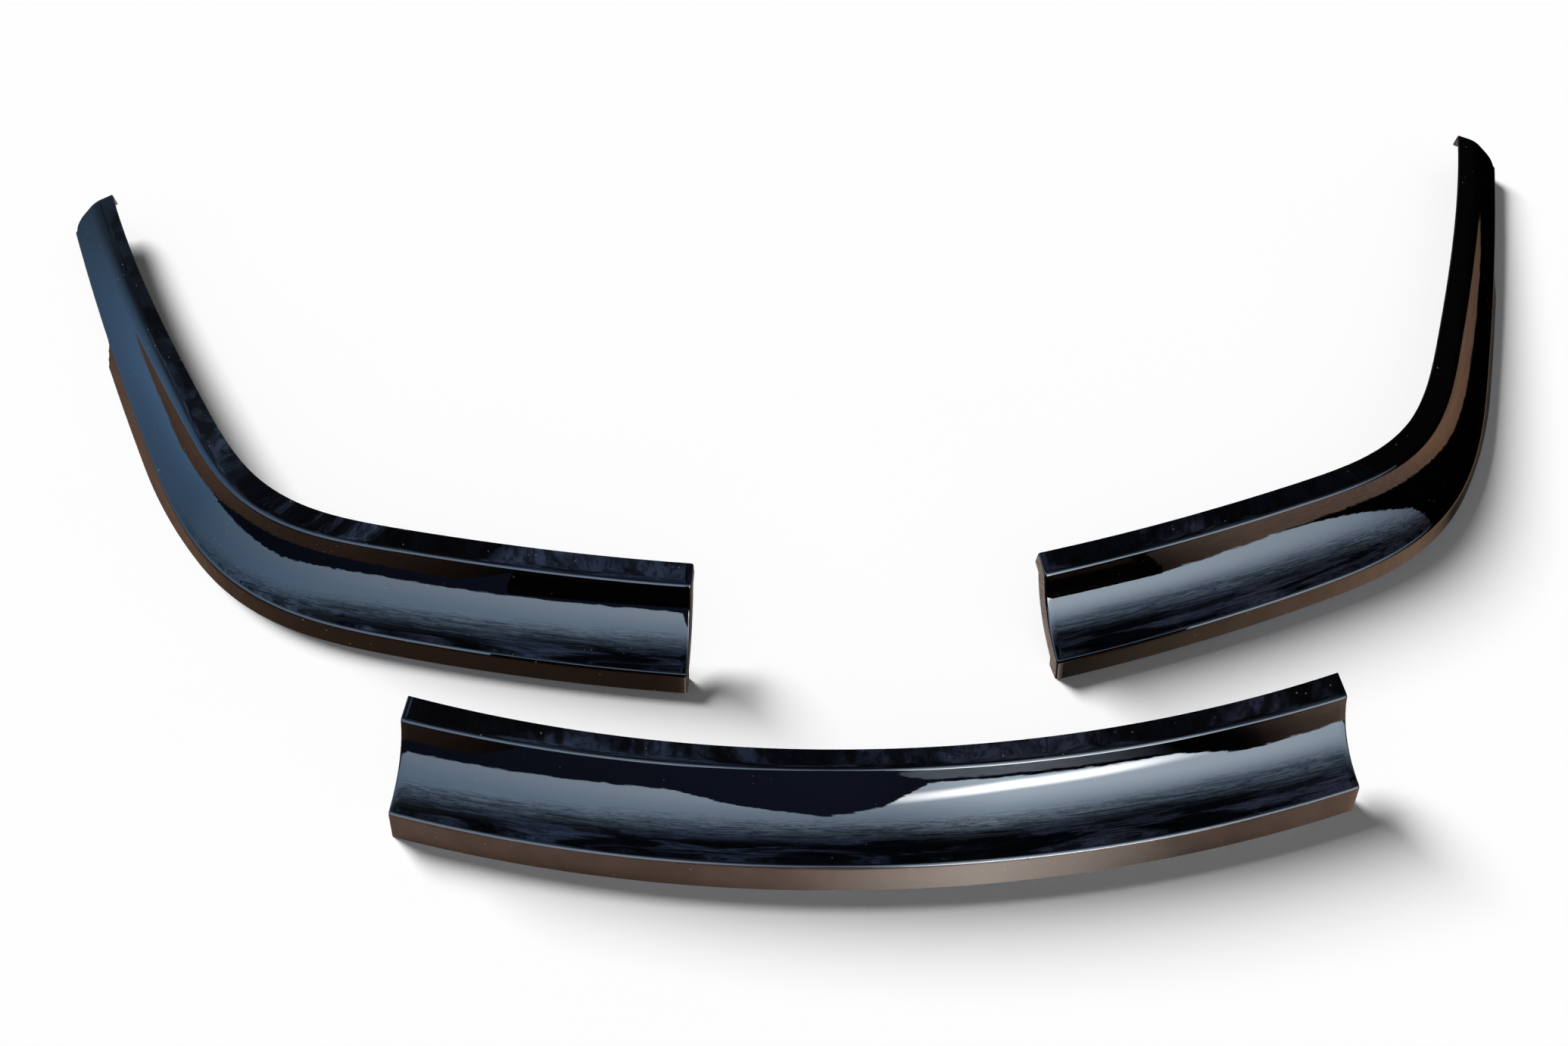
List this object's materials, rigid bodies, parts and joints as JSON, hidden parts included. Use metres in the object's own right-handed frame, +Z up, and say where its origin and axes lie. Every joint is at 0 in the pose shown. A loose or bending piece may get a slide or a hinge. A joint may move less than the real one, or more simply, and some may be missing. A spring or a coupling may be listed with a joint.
{
  "type": "front splitter lip",
  "caption": "Add-on front lip for a car bumper in gloss black moulded plastic: a bowed centre section and mirrored corner sections with a coved face, beaded edges and a flared skirt.",
  "frame": {"origin": "ground under the middle of the set's footprint, with the skirt feet on the ground", "axes": "+X across the car towards the right-hand corner section's side of the picture, +Y rearwards, +Z up"},
  "size_m": [1.4326, 0.7744, 0.0756],
  "materials": {
    "gloss_black": "high gloss black"
  },
  "bodies": {
    "root": {"centre_section": "gloss_black", "left_corner": "gloss_black", "right_corner": "gloss_black"}
  },
  "joints": []
}
